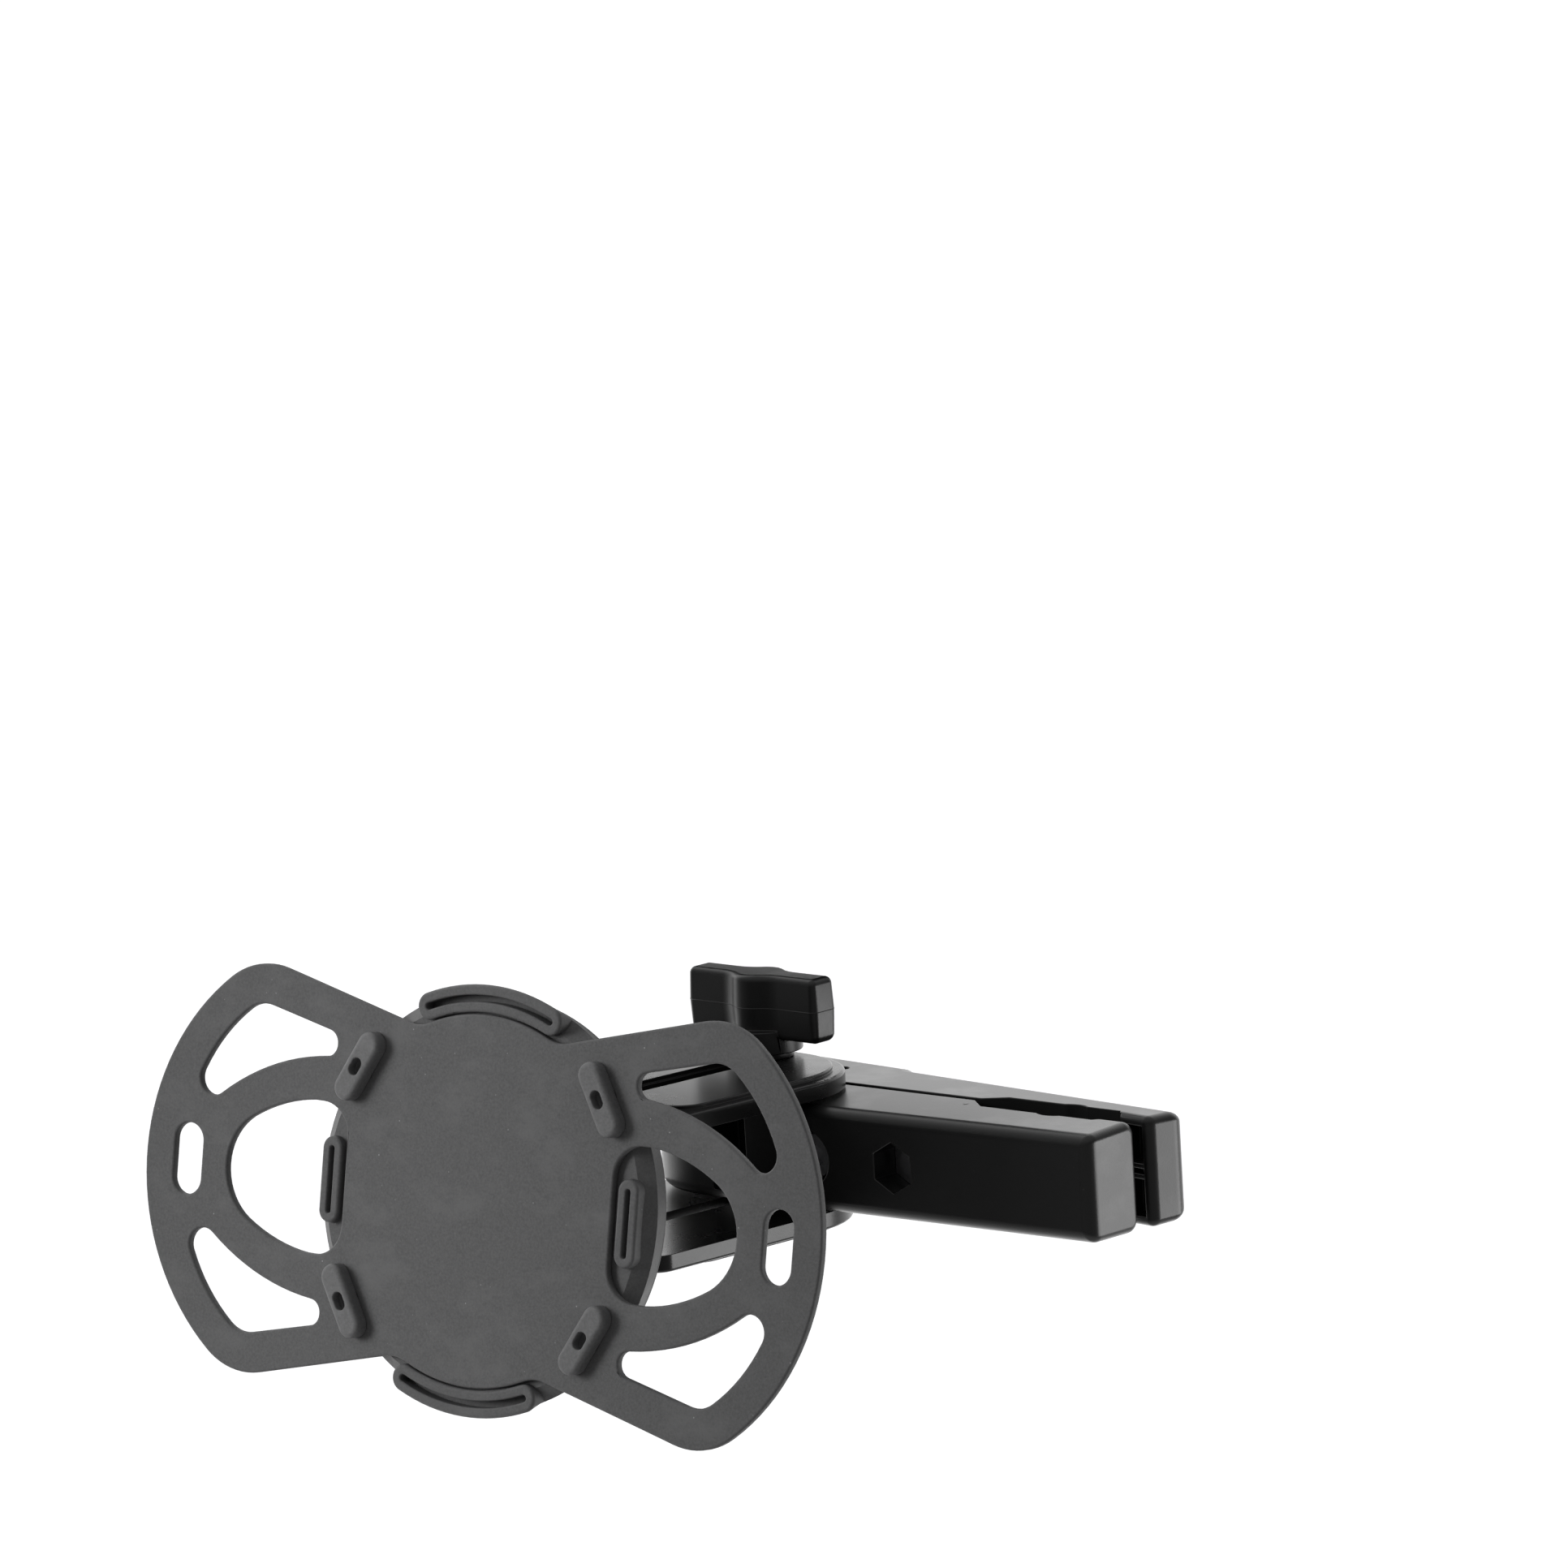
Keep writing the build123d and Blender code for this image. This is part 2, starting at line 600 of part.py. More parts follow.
def holder_disc():
    profile = [(-SHEET_T, 0), (-SHEET_T, FACE_R), (-BEVEL_DEPTH, BEVEL_R), (-DISC_DEPTH, DISC_R),
               (-DISC_DEPTH, HUB_R), (-HUB_DEPTH, HUB_R), (-HUB_DEPTH, 0)]
    disc = revolve(make_face(Polyline(*profile, close=True)), Axis.X, 360)
    for face in ring_faces(0):
        pad = slab(face, DISC_DEPTH, 0)
        disc += fillet(pad.faces().sort_by(Axis.X)[-1].edges(), SMALL_R)
    for face in ring_faces(LIP):
        disc -= slab(face, RING_FLOOR_DEPTH, -OVERLAP)
    disc -= along_x(SHAFT_R + RUN, -HUB_DEPTH, 0)
    disc -= along_x(TURN_WASHER_R + FIT_GAP, -TURN_SEAT_DEPTH, 0)
    for u, v, lean in button_places().values():
        disc -= slab(Pos(u, v) * Circle(STEM_R), DISC_DEPTH, 0)
    return HOLDER * disc


def button(place):
    u, v, lean = place
    head = slab(SlotOverall(BUTTON_L, BUTTON_W), 0, -BUTTON_H)
    head = fillet(head.faces().sort_by(Axis.X)[-1].edges(), BUTTON_EDGE_R)
    hole = SlotOverall(BUTTON_HOLE_L, BUTTON_HOLE_W)
    head -= slab(hole, -BUTTON_HOLE_FLOOR, -BUTTON_H - OVERLAP)
    shape = head + slab(Circle(STEM_R), DISC_DEPTH, 0)
    return HOLDER * Pos(0, u, v) * Rot(lean, 0, 0) * shape


def wing_outline():
    """Outline of the sheet: two round wings and a waist between the arched pads."""
    slope = tan(radians(WING_SLOPE))
    base = WING_EDGE_V - slope * WING_EDGE_U
    quad = 1 + slope ** 2
    lin = base * slope - WING_CENTRE
    rest = WING_CENTRE ** 2 + base ** 2 - WING_R ** 2
    corner_u = (-lin + sqrt(lin ** 2 - quad * rest)) / quad
    corner = (corner_u, base + slope * corner_u)
    waist_u = (-base * slope + sqrt((base * slope) ** 2 - quad * (base ** 2 - WAIST_R ** 2))) / quad
    waist = (waist_u, base + slope * waist_u)
    tip = (WING_CENTRE + WING_R, 0)
    outline = ThreePointArc((corner[0], -corner[1]), tip, corner)
    outline += Line(corner, waist)
    outline += ThreePointArc(waist, (0, WAIST_R), (-waist[0], waist[1]))
    outline += Line((-waist[0], waist[1]), (-corner[0], corner[1]))
    outline += ThreePointArc((-corner[0], corner[1]), (-tip[0], 0), (-corner[0], -corner[1]))
    outline += Line((-corner[0], -corner[1]), (-waist[0], -waist[1]))
    outline += ThreePointArc((-waist[0], -waist[1]), (0, -WAIST_R), (waist[0], -waist[1]))
    outline += Line((waist[0], -waist[1]), (corner[0], -corner[1]))
    face = make_face(outline)
    corners = [p for p in face.vertices() if abs(p.X) > corner_u - OVERLAP]
    face = fillet(corners, WING_CORNER_R)
    waists = [p for p in face.vertices() if abs(p.X) < waist_u + OVERLAP]
    return fillet(waists, WAIST_FILLET)


def corner_hole():
    """Large opening in the upper right of a wing, its outer side along the rim."""
    outline = Polyline(CORNER_HOLE_FOOT, CORNER_HOLE_HEAD, CORNER_HOLE_SHOULDER)
    outline += ThreePointArc(CORNER_HOLE_SHOULDER, CORNER_HOLE_FLANK, CORNER_HOLE_TIP)
    outline += ThreePointArc(CORNER_HOLE_TIP, CORNER_HOLE_END, CORNER_HOLE_TOE)
    outline += ThreePointArc(CORNER_HOLE_TOE, CORNER_HOLE_BELLY, CORNER_HOLE_FOOT)
    face = make_face(outline)
    radii = {CORNER_HOLE_FOOT: FOOT_R, CORNER_HOLE_HEAD: FOOT_R, CORNER_HOLE_SHOULDER: SHOULDER_R}
    for spot, radius in radii.items():
        near = face.vertices().sort_by_distance(Vector(*spot, 0))[0]
        face = fillet(near, radius)
    return face


def below(spot):
    """The same spot on the other side of the sheet's long axis."""
    return (spot[0], -spot[1])


def side_hole():
    """D-shaped opening beside the disc."""
    upper = (SIDE_HOLE_IN, SIDE_HOLE_SHOULDER[1])
    outline = Polyline(below(SIDE_HOLE_SHOULDER), below(upper), upper, SIDE_HOLE_SHOULDER)
    outline += ThreePointArc(SIDE_HOLE_SHOULDER, SIDE_HOLE_FLANK, SIDE_HOLE_TURN)
    outline += ThreePointArc(SIDE_HOLE_TURN, (SIDE_HOLE_OUT, 0), below(SIDE_HOLE_TURN))
    outline += ThreePointArc(below(SIDE_HOLE_TURN), below(SIDE_HOLE_FLANK), below(SIDE_HOLE_SHOULDER))
    face = make_face(outline)
    return fillet(face.vertices().group_by(Axis.X)[0], SIDE_HOLE_IN_R)


def sheet_face():
    face = wing_outline()
    upper = corner_hole()
    holes = [upper, mirror(upper, about=Plane.XZ), side_hole()]
    tip_slot = SlotOverall(2 * TIP_SLOT_HALF, TIP_SLOT_OUT - TIP_SLOT_IN, rotation=90)
    holes.append(Pos((TIP_SLOT_OUT + TIP_SLOT_IN) / 2, 0) * tip_slot)
    for hole in holes:
        face -= hole
        face -= mirror(hole, about=Plane.YZ)
    for u, v, lean in button_places().values():
        face -= Pos(u, v) * Circle(STEM_HOLE_R)
    return face


def rubber_sheet():
    return HOLDER * slab(sheet_face(), SHEET_T, 0)


pieces = {
    "front_jaw": front_jaw(),
    "rear_jaw": rear_jaw(),
    "clamp_screw": clamp_screw(),
    "clamp_nut": clamp_nut(),
    "jaw_screw": jaw_screw(),
    "jaw_nut": jaw_nut(),
    "pivot_bolt": pivot_bolt(),
    "bolt_washer": stack_washer(-WASHER_OUT),
    "pivot_knob": pivot_knob(),
    "knob_insert": knob_insert(),
    "knob_washer": stack_washer(WASHER_IN),
    "upper_friction_washer": friction_washer(1),
    "lower_friction_washer": friction_washer(-1),
    "upper_arm_plate": upper_arm_plate(),
    "lower_arm_plate": lower_arm_plate(),
    "block_screw_left": block_screw(-1),
    "block_screw_right": block_screw(1),
    "swivel_yoke": swivel_yoke(),
    "swivel_pin": swivel_pin(),
    "tilt_bracket": tilt_bracket(),
    "tilt_pin": tilt_pin(),
    "turn_washer": turn_washer(),
    "turn_screw": turn_screw(),
    "holder_disc": holder_disc(),
    "rubber_sheet": rubber_sheet(),
}
for name, place in button_places().items():
    pieces["button_" + name] = button(place)

os.makedirs("parts", exist_ok=True)
for name, shape in pieces.items():
    export_step(shape, "parts/" + name + ".step")
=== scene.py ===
"""Tablet mount: rounded mouldings, rubber and plated finishes, and the studio around them."""
import json
from math import atan2, cos, radians, sin

import bmesh
import bpy
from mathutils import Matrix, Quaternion, Vector


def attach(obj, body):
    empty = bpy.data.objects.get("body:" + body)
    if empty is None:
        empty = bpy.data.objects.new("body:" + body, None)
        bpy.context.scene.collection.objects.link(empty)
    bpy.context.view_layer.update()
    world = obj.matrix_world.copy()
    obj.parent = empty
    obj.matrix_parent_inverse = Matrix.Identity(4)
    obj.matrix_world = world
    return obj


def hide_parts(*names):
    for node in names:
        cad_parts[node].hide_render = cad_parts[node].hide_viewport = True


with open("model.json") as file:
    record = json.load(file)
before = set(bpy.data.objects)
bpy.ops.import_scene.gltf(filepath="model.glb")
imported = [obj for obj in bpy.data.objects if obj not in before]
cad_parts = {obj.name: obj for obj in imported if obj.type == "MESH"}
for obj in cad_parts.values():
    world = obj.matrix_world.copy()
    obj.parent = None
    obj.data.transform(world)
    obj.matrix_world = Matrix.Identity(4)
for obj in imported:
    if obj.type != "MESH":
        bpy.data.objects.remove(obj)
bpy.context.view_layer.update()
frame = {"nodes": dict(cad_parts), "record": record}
record = frame["record"]
MM = 0.001

# Camera, in metres, with its lean in degrees; the lens and the square picture are in millimetres
EYE = Vector((0.90698, -1.09280, 0.31793))
AIM = Vector((-0.05415, -0.02588, 0.08719))
LEAN = 3.494
LENS = 149.07
PICTURE_W = 36.0

# Floor, in metres, with its two tones, its clouds a metre and its glow
FLOOR_Z = -0.7
FLOOR_R = 60.0
FLOOR_SIDES = 96
FLOOR_TONES = (0.86, 0.9)
FLOOR_CLOUDS = 0.8
FLOOR_GLOW = 0.45

# Strength of the room light from each side, the side that it mostly comes from, and where it grows
AIR_SIDE = (-0.66, 0.73, 0.0)
AIR_FRONT = 0.19
AIR_BEHIND = 1.5
AIR_ABOVE = 0.35
AIR_BELOW = 0.5
AIR_SEEN = 1.0
SIDE_GROWS = (0.1, 0.8)
HEIGHT_GROWS = (0.3, 0.85)

# Black card behind the mount, in metres, with its two tones and its threads a metre
FLAG_Y = 0.05
FLAG_LEFT = -0.22
FLAG_RIGHT = -0.06
FLAG_LOW = 0.049
FLAG_HIGH = 0.16
FLAG_TONES = (0.006, 0.012)
FLAG_THREADS = 900.0
STUDIO_ROUGH = 0.9

# Lamps: place and aim in metres, width, height, watts, spread in degrees, and whether gloss shows them
LAMPS = {
    "left_softbox": ((-0.36, -0.42, 0.14), (-0.125, -0.10, 0.01), 0.25, 0.40, 0.38, 44.0, False),
    "right_softbox": ((0.34, 0.26, -0.10), (0.02, 0.0, 0.0), 0.3, 0.2, 0.95, 180.0, True),
}

# Blue of a grey against its red and green
COOL_TRACE = 1.01

# Sockets of a mixing node by number, because their names repeat
MIX_FACTOR = 0
MIX_LOW = 2
MIX_HIGH = 3
MIX_VALUE = 0
MIX_DARK = 6
MIX_LIGHT = 7
MIX_COLOUR = 2

# Marks of handling on plastic and rubber, a metre, and how they change the finish under them
PLASTIC_SPECKS = 900.0
PLASTIC_RUBS = 45.0
PLASTIC_SHINE = 0.45
SPECK_GAIN = 4
RUBBER_SPECKS = 760.0
RUBBER_RUBS = 70.0
RUBBER_SHINE = 0.3
RUB_GAIN = 0.92
RUB_SMOOTHS = 0.1

# Lines of drawn metal, a metre, and their depth
METAL_LINES = 900.0
METAL_LINE_DEPTH = 0.01 * MM

# Forward bow of the rubber wings, in millimetres from the middle of the holder along the sheet
SHEET_LONG = Vector((0.99313, 0.10949, -0.04127))
BOW_START = 45.0
BOW_END = 94.0
BOW_RISE = 1.4
BOW_STEP = 4.0

# Edge of the disc as radius and depth behind the face, in millimetres: in the solid, and as it looks
DISC_EDGE = ((43.5, 2.0), (47.0, 3.0), (48.7, 4.8))
DISC_LOOK = ((43.5, 2.0), (46.6, 4.6), (45.0, 9.6))
EDGE_NEAR = 0.05
SHARE_NEAR = 0.001

# Back of the disc: its section as radius and depth behind the face, in millimetres
BACK_PROFILE = (
    (44.6, 9.3),
    (45.0, 9.6),
    (45.0, 10.0),
    (44.6, 10.4),
    (17.6, 10.4),
    (17.0, 9.8),
    (17.0, 5.0),
)
BACK_STEPS = 120

# Slots of the disc's rings, in millimetres and degrees: middle lines, half widths, depth, and width kept
ARCH_MIDDLE = 44.9
ARCH_HALF_ANGLE = 22.0
ARCH_SLOT = 1.4
SIDE_MIDDLE = 41.3
SIDE_HALF = 7.0
SIDE_SLOT = 1.1
SLOT_FLOOR = 3.2
SLOT_KEEP = 0.55

# Outer end of the rear jaw, in millimetres: where it starts to differ, and by how much
TAIL_START = 12.0
TAIL_LONGER = 2.2
TAIL_NEARER = 1.5

# Small moulding marks, in millimetres
PARTING_Z = 30.7
PARTING_W = 0.4
PARTING_RISE = 0.09
PARTING_ROOT = 0.1
GATE_SPOT = Vector((-24.3, -4.5, 12.55))
GATE_R = 0.8
GATE_TAPER = 0.8
GATE_H = 0.16
GATE_SIDES = 24

# Rounded edges of the moulded pieces, in millimetres
EDGE_ROUNDS = {
    "front_jaw": 0.28,
    "rear_jaw": 0.3,
    "pivot_knob": 0.3,
    "knob_washer": 0.2,
    "upper_friction_washer": 0.08,
    "lower_friction_washer": 0.08,
    "upper_arm_plate": 0.12,
    "lower_arm_plate": 0.12,
    "swivel_yoke": 0.5,
    "tilt_bracket": 0.5,
    "holder_disc": 0.45,
    "rubber_sheet": 0.5,
    "button_upper_left": 0.35,
    "button_upper_right": 0.35,
    "button_lower_left": 0.35,
    "button_lower_right": 0.35,
}
EDGE_STEPS = 3

# Angles between faces, in degrees: sharp edges, crisp edges of the disc, and faces that are one flat face
SHARP_ANGLE = 50.0
DISC_SHARP = 12.0
FLAT_ANGLE = 0.2

# Points that are one point, in metres, and how squarely a face of the sheet has to look ahead to be flat
WELD = 2e-6
FLAT_SHARE = 0.99


def body_of(node):
    """Name of the body that carries a node."""
    for body, members in record["behaviour"]["bodies"].items():
        if node in members:
            return body


def slot_of(node):
    """Material slot of a node in the record."""
    for part in record["subparts"]:
        if part["node"] == node:
            return part["material_slot"]


# Shared effects
def feed(tree, socket, source):
    """Link a socket to another node's output, or give it a fixed value."""
    if isinstance(source, bpy.types.NodeSocket):
        tree.links.new(source, socket)
    else:
        socket.default_value = source


def add_node(tree, kind, inputs=(), **settings):
    """Node with its settings, and with its inputs fed by name or number."""
    node = tree.nodes.new(kind)
    for key, value in settings.items():
        setattr(node, key, value)
    for label, source in inputs:
        feed(tree, node.inputs[label], source)
    return node


def new_group(name, inputs, outputs):
    """Empty node group with its sockets, and its two end nodes."""
    group = bpy.data.node_groups.new(name, "ShaderNodeTree")
    for label, start in inputs:
        socket = group.interface.new_socket(label, in_out="INPUT", socket_type="NodeSocketFloat")
        socket.default_value = start
    for label in outputs:
        group.interface.new_socket(label, in_out="OUTPUT", socket_type="NodeSocketFloat")
    entry = group.nodes.new("NodeGroupInput")
    leave = group.nodes.new("NodeGroupOutput")
    return group, entry, leave


def moulded_grain():
    """Fine pitted skin of moulded plastic: its height, and its slow change of tone."""
    group, entry, leave = new_group("Moulded grain", [("Pits per metre", 2600.0)], ["Height", "Tone"])
    place = add_node(group, "ShaderNodeTexCoord").outputs["Object"]
    pits = add_node(group, "ShaderNodeTexNoise", [
        ("Vector", place), ("Scale", entry.outputs[0]), ("Detail", 3.0), ("Roughness", 0.6)])
    drift = add_node(group, "ShaderNodeTexNoise", [("Vector", place), ("Scale", 38.0), ("Detail", 4.0)])
    feed(group, leave.inputs["Height"], pits.outputs["Fac"])
    feed(group, leave.inputs["Tone"], drift.outputs["Fac"])
    return group


def handling_marks():
    """Sparse pale specks and rubbed patches left by handling."""
    group, entry, leave = new_group(
        "Handling marks", [("Specks per metre", 300.0), ("Rub scale", 60.0)], ["Specks", "Rubs"])
    place = add_node(group, "ShaderNodeTexCoord").outputs["Object"]
    cells = add_node(group, "ShaderNodeTexVoronoi", [
        ("Vector", place), ("Scale", entry.outputs[0]), ("Randomness", 1.0)])
    dot = add_node(group, "ShaderNodeMapRange", [
        ("Value", cells.outputs["Distance"]), ("From Min", 0.16), ("From Max", 0.05)])
    chance = add_node(group, "ShaderNodeSeparateColor", [("Color", cells.outputs["Color"])])
    rare = add_node(group, "ShaderNodeMapRange", [
        ("Value", chance.outputs["Red"]), ("From Min", 0.94), ("From Max", 1.0)])
    speck = add_node(group, "ShaderNodeMath", [
        (0, dot.outputs["Result"]), (1, rare.outputs["Result"])], operation="MULTIPLY")
    stretch = add_node(group, "ShaderNodeMapping", [
        ("Vector", place), ("Scale", (1.0, 1.0, 1.5)), ("Rotation", (0.3, 0.5, 0.2))])
    rub = add_node(group, "ShaderNodeTexNoise", [
        ("Vector", stretch.outputs["Vector"]), ("Scale", entry.outputs[1]),
        ("Detail", 6.0), ("Roughness", 0.65)])
    shown = add_node(group, "ShaderNodeMapRange", [
        ("Value", rub.outputs["Fac"]), ("From Min", 0.5), ("From Max", 0.78)])
    feed(group, leave.inputs["Specks"], speck.outputs["Value"])
    feed(group, leave.inputs["Rubs"], shown.outputs["Result"])
    return group


def drawn_lines():
    """Fine lines of turned or drawn metal with a cloudy plated film."""
    group, entry, leave = new_group("Drawn lines", [("Lines per metre", 900.0)], ["Lines", "Film"])
    place = add_node(group, "ShaderNodeTexCoord").outputs["Object"]
    squeeze = add_node(group, "ShaderNodeMapping", [("Vector", place), ("Scale", (1.0, 0.12, 1.0))])
    lines = add_node(group, "ShaderNodeTexNoise", [
        ("Vector", squeeze.outputs["Vector"]), ("Scale", entry.outputs[0]), ("Detail", 4.0)])
    film = add_node(group, "ShaderNodeTexNoise", [("Vector", place), ("Scale", 160.0), ("Detail", 3.0)])
    feed(group, leave.inputs["Lines"], lines.outputs["Fac"])
    feed(group, leave.inputs["Film"], film.outputs["Fac"])
    return group


GRAIN = moulded_grain()
MARKS = handling_marks()
LINES = drawn_lines()


# Finishes
def new_finish(name):
    """Empty material, its node tree and its shader."""
    material = bpy.data.materials.new(name)
    material.use_nodes = True
    tree = material.node_tree
    return material, tree, tree.nodes["Principled BSDF"]


def place_group(tree, group, values):
    """Node group in a material, with its own values."""
    node = tree.nodes.new("ShaderNodeGroup")
    node.node_tree = group
    for label, value in values.items():
        node.inputs[label].default_value = value
    return node


def grey(value):
    """Grey of a given lightness, a trace cool."""
    return (value, value, value * COOL_TRACE, 1.0)


def colour_mix(tree, factor, low, high):
    """Colour between two others by a mask: each is fixed, or comes from another node."""
    mix = add_node(tree, "ShaderNodeMix", [
        (MIX_FACTOR, factor), (MIX_DARK, low), (MIX_LIGHT, high)], data_type="RGBA")
    return mix.outputs[MIX_COLOUR]


def value_range(tree, factor, low, high):
    """Value between two limits by a mask."""
    span = add_node(tree, "ShaderNodeMapRange", [("Value", factor), ("To Min", low), ("To Max", high)])
    return span.outputs["Result"]


def dress(tree, shader, colour, roughness, height, depth):
    """Feed a shader its colour, its roughness and a relief of a given depth in metres."""
    relief = add_node(tree, "ShaderNodeBump", [("Strength", 1.0), ("Distance", depth), ("Height", height)])
    feed(tree, shader.inputs["Base Color"], colour)
    feed(tree, shader.inputs["Roughness"], roughness)
    feed(tree, shader.inputs["Normal"], relief.outputs["Normal"])


def satin_black(name, dark, light, smooth, rough, pits, pit_depth):
    """Moulded black plastic with a pitted skin and a slightly uneven sheen."""
    material, tree, shader = new_finish(name)
    grain = place_group(tree, GRAIN, {"Pits per metre": pits})
    marks = place_group(tree, MARKS, {"Specks per metre": PLASTIC_SPECKS, "Rub scale": PLASTIC_RUBS})
    base = colour_mix(tree, grain.outputs["Tone"], grey(dark), grey(light))
    speckled = colour_mix(tree, marks.outputs["Specks"], base, grey(light * SPECK_GAIN))
    roughness = value_range(tree, marks.outputs["Rubs"], rough, smooth)
    dress(tree, shader, speckled, roughness, grain.outputs["Height"], pit_depth)
    shader.inputs["Specular IOR Level"].default_value = PLASTIC_SHINE
    return material


def dull_rubber(name, dark, light, dust, rough, pits, pit_depth):
    """Moulded rubber: dry and even, with pale dust and rubbed patches."""
    material, tree, shader = new_finish(name)
    grain = place_group(tree, GRAIN, {"Pits per metre": pits})
    marks = place_group(tree, MARKS, {"Specks per metre": RUBBER_SPECKS, "Rub scale": RUBBER_RUBS})
    base = colour_mix(tree, grain.outputs["Height"], grey(dark), grey(light))
    rubbed = colour_mix(tree, marks.outputs["Rubs"], base, grey(light * RUB_GAIN))
    dusted = colour_mix(tree, marks.outputs["Specks"], rubbed, grey(dust))
    roughness = value_range(tree, marks.outputs["Rubs"], rough, rough - RUB_SMOOTHS)
    dress(tree, shader, dusted, roughness, grain.outputs["Height"], pit_depth)
    shader.inputs["Specular IOR Level"].default_value = RUBBER_SHINE
    return material


def plated_metal(name, dark, light, smooth, rough):
    """Plated or plain metal with fine lines and a cloudy film."""
    material, tree, shader = new_finish(name)
    lines = place_group(tree, LINES, {"Lines per metre": METAL_LINES})
    base = colour_mix(tree, lines.outputs["Film"], dark, light)
    roughness = value_range(tree, lines.outputs["Lines"], smooth, rough)
    dress(tree, shader, base, roughness, lines.outputs["Lines"], METAL_LINE_DEPTH)
    shader.inputs["Metallic"].default_value = 1.0
    return material


# Finishes by slot: tones or colours, dust on rubber, roughness, and pits a metre with their depth
FINISHES = {
    "bar_plastic": satin_black("Bar satin black", 0.007, 0.010, 0.24, 0.32, 2200.0, 0.018 * MM),
    "arm_plastic": satin_black("Arm satin black", 0.005, 0.008, 0.20, 0.28, 2200.0, 0.014 * MM),
    "knob_plastic": satin_black("Knob satin black", 0.004, 0.006, 0.24, 0.34, 2200.0, 0.020 * MM),
    "washer_plastic": satin_black("Washer black", 0.005, 0.008, 0.24, 0.32, 1500.0, 0.006 * MM),
    "joint_plastic": satin_black("Joint satin black", 0.005, 0.008, 0.28, 0.36, 2200.0, 0.008 * MM),
    "disc_plastic": dull_rubber("Disc dull grey", 0.055, 0.115, 0.22, 0.56, 1800.0, 0.014 * MM),
    "sheet_rubber": dull_rubber("Sheet rubber", 0.056, 0.118, 0.30, 0.66, 1800.0, 0.016 * MM),
    "button_rubber": dull_rubber("Button rubber", 0.075, 0.150, 0.28, 0.58, 1500.0, 0.012 * MM),
    "zinc_steel": plated_metal("Zinc steel", (0.24, 0.24, 0.25, 1), (0.40, 0.40, 0.41, 1), 0.30, 0.48),
    "insert_brass": plated_metal("Insert brass", (0.50, 0.36, 0.14, 1), (0.70, 0.52, 0.24, 1), 0.22, 0.38),
}


# Pieces
def welded_copy(node):
    """Copy of a node's mesh with its seams closed."""
    work = bmesh.new()
    work.from_mesh(frame["nodes"][node].data)
    bmesh.ops.remove_doubles(work, verts=work.verts, dist=WELD)
    return work


def new_piece(name, work):
    """Object with a finished working mesh, placed in the scene."""
    mesh = bpy.data.meshes.new(name)
    work.to_mesh(mesh)
    work.free()
    piece = bpy.data.objects.new(name, mesh)
    bpy.context.scene.collection.objects.link(piece)
    return piece


def fit_to(piece, node):
    """Give a piece the finish and the body of a node."""
    piece.data.materials.append(FINISHES[slot_of(node)])
    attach(piece, body_of(node))


def even_normals(piece):
    """Shade the faces of a piece by their size, with its sharp edges kept."""
    piece.modifiers.new("Even normals", "WEIGHTED_NORMAL").keep_sharp = True


def holder_axis():
    """Middle of the holder's face, and the direction it faces."""
    turn = next(joint for joint in record["behaviour"]["joints"] if joint["name"] == "holder_turn")
    return Vector(turn["pos_m"]), Vector(turn["axis"])


def deeper_disc(work):
    """Draw the disc's edge in and back, from the solid's profile to the one that shows."""
    middle, ahead = holder_axis()
    for vert in work.verts:
        depth = -(vert.co - middle).dot(ahead)
        foot = middle - ahead * depth
        radius = (vert.co - foot).length
        for step in (0, 1):
            (near_r, near_d), (far_r, far_d) = DISC_EDGE[step:step + 2]
            share = (radius / MM - near_r) / (far_r - near_r)
            level = near_d + share * (far_d - near_d)
            if -SHARE_NEAR < share < 1 + SHARE_NEAR and abs(depth / MM - level) < EDGE_NEAR:
                (look_r, look_d), (end_r, end_d) = DISC_LOOK[step:step + 2]
                out = (vert.co - foot).normalized()
                new_r = (look_r + share * (end_r - look_r)) * MM
                new_d = (look_d + share * (end_d - look_d)) * MM
                vert.co = middle - ahead * new_d + out * new_r
                break


def slot_middle(across, up):
    """Nearest point of a ring slot's middle line to a spot of the face, or nothing outside the slots."""
    upper = 1 if up > 0 else -1
    right = 1 if across > 0 else -1
    half = radians(ARCH_HALF_ANGLE)
    lean = max(-half, min(half, atan2(across, abs(up))))
    arch = Vector((ARCH_MIDDLE * sin(lean), ARCH_MIDDLE * cos(lean) * upper))
    side = Vector((SIDE_MIDDLE * right, max(-SIDE_HALF, min(SIDE_HALF, up))))
    for middle, half_width in ((arch, ARCH_SLOT), (side, SIDE_SLOT)):
        if (Vector((across, up)) - middle).length < half_width + EDGE_NEAR:
            return middle


def narrower_slots(work):
    """Thicken the lips of the disc's rings by drawing in the walls of their slots."""
    middle, ahead = holder_axis()
    rise = ahead.cross(SHEET_LONG)
    for vert in work.verts:
        spot = (vert.co - middle) / MM
        line = slot_middle(spot.dot(SHEET_LONG), spot.dot(rise))
        if line and -spot.dot(ahead) < SLOT_FLOOR + EDGE_NEAR:
            across = (line.x - spot.dot(SHEET_LONG)) * (1 - SLOT_KEEP)
            up = (line.y - spot.dot(rise)) * (1 - SLOT_KEEP)
            vert.co += (SHEET_LONG * across + rise * up) * MM


def shaped_disc(work):
    """Disc with its narrower slots and its deeper edge."""
    narrower_slots(work)
    deeper_disc(work)


